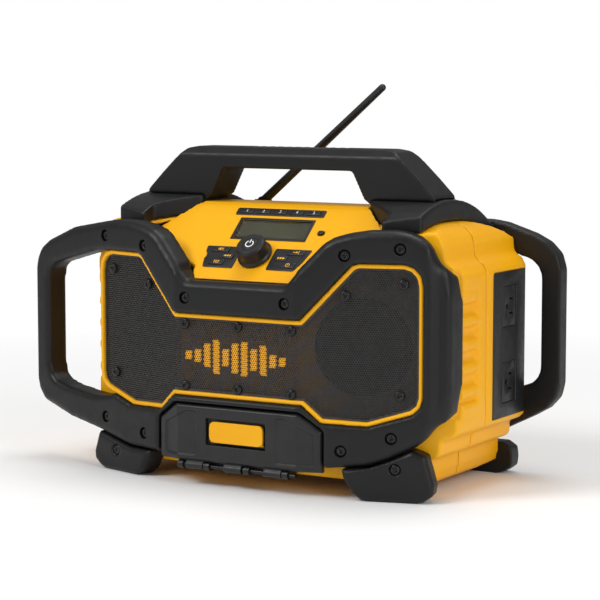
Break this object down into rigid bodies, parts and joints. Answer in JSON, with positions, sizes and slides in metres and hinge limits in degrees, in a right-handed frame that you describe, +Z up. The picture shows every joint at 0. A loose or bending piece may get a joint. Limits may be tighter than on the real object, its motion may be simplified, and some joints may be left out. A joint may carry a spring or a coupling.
{
  "type": "jobsite radio",
  "caption": "Rugged worksite radio with twin speakers behind a steel grille, roll-cage loops, carrying handle, sloped controls, storage door and side outlets.",
  "frame": {"origin": "on the ground plane under the middle of the housings, halfway between the front frame's centre face and the rear frame's back face", "axes": "+X to the radio's left-hand side when it is seen from behind (to the right in the front view), -Y out of the front, +Z up"},
  "size_m": [0.4715, 0.212, 0.3465],
  "materials": {
    "yellow_housing": "moulded, fine texture",
    "black_bumper": "matt moulded rubber over a stiff frame",
    "black_moulding": "matt moulded",
    "grille_steel": "black perforated steel",
    "black_steel": "blackened screws and pin",
    "plated_steel": "plated",
    "speaker_steel": "black stamped steel",
    "speaker_cone": "pressed paper cone with rubber surround",
    "baffle_board": "moulded",
    "display_lens": "clear",
    "display_panel": "liquid crystal panel",
    "circuit_board": "solder mask",
    "supply_case": "plain"
  },
  "bodies": {
    "radio": {"front_housing": "yellow_housing", "rear_housing": "yellow_housing", "console": "yellow_housing", "front_frame": "black_bumper", "rear_frame": "black_bumper", "handle": "black_bumper", "left_top_cover": "black_bumper", "right_top_cover": "black_bumper", "grille": "grille_steel", "grille_trim": "yellow_housing", "baffle": "baffle_board", "left_woofer": "speaker_steel", "left_cone": "speaker_cone", "right_woofer": "speaker_steel", "right_cone": "speaker_cone", "tweeters": "speaker_cone", "grille_screws": "black_steel", "frame_screws": "black_steel", "foot_screws": "black_steel", "front_left_foot": "black_bumper", "front_right_foot": "black_bumper", "rear_left_foot": "black_bumper", "rear_right_foot": "black_bumper", "storage_box": "black_moulding", "usb_port": "plated_steel", "aux_jack": "plated_steel", "display_window": "display_lens", "display_module": "display_panel", "control_board": "circuit_board", "volume_encoder": "plated_steel", "key_pads": "black_moulding", "outlet_panel": "black_moulding", "upper_outlet": "black_moulding", "lower_outlet": "black_moulding", "main_board": "circuit_board", "power_supply": "supply_case", "battery_terminals": "plated_steel", "cord_gland": "black_moulding", "door_hinge_pin": "black_steel"},
    "knob": {"volume_knob": "black_moulding"},
    "power": {"power_button": "black_moulding"},
    "preset_key_1": {"preset_key_1": "black_moulding"},
    "preset_key_2": {"preset_key_2": "black_moulding"},
    "preset_key_3": {"preset_key_3": "black_moulding"},
    "preset_key_4": {"preset_key_4": "black_moulding"},
    "preset_key_5": {"preset_key_5": "black_moulding"},
    "mute_key": {"mute_key": "black_moulding"},
    "tone_key": {"tone_key": "black_moulding"},
    "source_key": {"source_key": "black_moulding"},
    "clock_key": {"clock_key": "black_moulding"},
    "back_key": {"back_key": "black_moulding"},
    "forward_key": {"forward_key": "black_moulding"},
    "memory_key": {"memory_key": "black_moulding"},
    "door": {"storage_door": "black_moulding"},
    "latch": {"door_latch": "yellow_housing"},
    "antenna_swivel": {"antenna_base": "black_moulding"},
    "mast": {"antenna_mast": "black_moulding"}
  },
  "joints": [
    {"name": "volume_turn", "type": "hinge", "parent": "radio", "child": "knob", "pos_m": [0, -0.06973, 0.19975], "axis": [0, -0.6691, 0.7431], "continuous": true},
    {"name": "power_press", "type": "slide", "parent": "knob", "child": "power", "axis": [0, 0.6691, -0.7431], "range_m": [0, 0.0008], "stiffness_N_per_m": 900, "springref_m": -0.001},
    {"name": "preset_1_press", "type": "slide", "parent": "radio", "child": "preset_key_1", "axis": [0, 0.6691, -0.7431], "range_m": [0, 0.0008], "stiffness_N_per_m": 700, "springref_m": -0.001},
    {"name": "preset_2_press", "type": "slide", "parent": "radio", "child": "preset_key_2", "axis": [0, 0.6691, -0.7431], "range_m": [0, 0.0008], "stiffness_N_per_m": 700, "springref_m": -0.001},
    {"name": "preset_3_press", "type": "slide", "parent": "radio", "child": "preset_key_3", "axis": [0, 0.6691, -0.7431], "range_m": [0, 0.0008], "stiffness_N_per_m": 700, "springref_m": -0.001},
    {"name": "preset_4_press", "type": "slide", "parent": "radio", "child": "preset_key_4", "axis": [0, 0.6691, -0.7431], "range_m": [0, 0.0008], "stiffness_N_per_m": 700, "springref_m": -0.001},
    {"name": "preset_5_press", "type": "slide", "parent": "radio", "child": "preset_key_5", "axis": [0, 0.6691, -0.7431], "range_m": [0, 0.0008], "stiffness_N_per_m": 700, "springref_m": -0.001},
    {"name": "mute_press", "type": "slide", "parent": "radio", "child": "mute_key", "axis": [0, 0.6691, -0.7431], "range_m": [0, 0.0008], "stiffness_N_per_m": 700, "springref_m": -0.001},
    {"name": "tone_press", "type": "slide", "parent": "radio", "child": "tone_key", "axis": [0, 0.6691, -0.7431], "range_m": [0, 0.0008], "stiffness_N_per_m": 700, "springref_m": -0.001},
    {"name": "source_press", "type": "slide", "parent": "radio", "child": "source_key", "axis": [0, 0.6691, -0.7431], "range_m": [0, 0.0008], "stiffness_N_per_m": 700, "springref_m": -0.001},
    {"name": "clock_press", "type": "slide", "parent": "radio", "child": "clock_key", "axis": [0, 0.6691, -0.7431], "range_m": [0, 0.0008], "stiffness_N_per_m": 700, "springref_m": -0.001},
    {"name": "back_press", "type": "slide", "parent": "radio", "child": "back_key", "axis": [0, 0.6691, -0.7431], "range_m": [0, 0.0008], "stiffness_N_per_m": 700, "springref_m": -0.001},
    {"name": "forward_press", "type": "slide", "parent": "radio", "child": "forward_key", "axis": [0, 0.6691, -0.7431], "range_m": [0, 0.0008], "stiffness_N_per_m": 700, "springref_m": -0.001},
    {"name": "memory_press", "type": "slide", "parent": "radio", "child": "memory_key", "axis": [0, 0.6691, -0.7431], "range_m": [0, 0.0008], "stiffness_N_per_m": 700, "springref_m": -0.001},
    {"name": "door_hinge", "type": "hinge", "parent": "radio", "child": "door", "pos_m": [0, -0.1, 0.018], "axis": [1, 0, 0], "range_deg": [0, 90]},
    {"name": "latch_hinge", "type": "hinge", "parent": "door", "child": "latch", "pos_m": [0, -0.1005, 0.0405], "axis": [1, 0, 0], "range_deg": [0, 25], "stiffness_Nm_per_rad": 0.05, "springref_deg": -11.46},
    {"name": "antenna_turn", "type": "hinge", "parent": "radio", "child": "antenna_swivel", "pos_m": [-0.064, 0.046, 0.239], "axis": [0, 0, 1], "range_deg": [-15, 90]},
    {"name": "antenna_fold", "type": "hinge", "parent": "antenna_swivel", "child": "mast", "pos_m": [-0.064, 0.046, 0.239], "axis": [0, 1, 0], "range_deg": [-50, 30]}
  ]
}
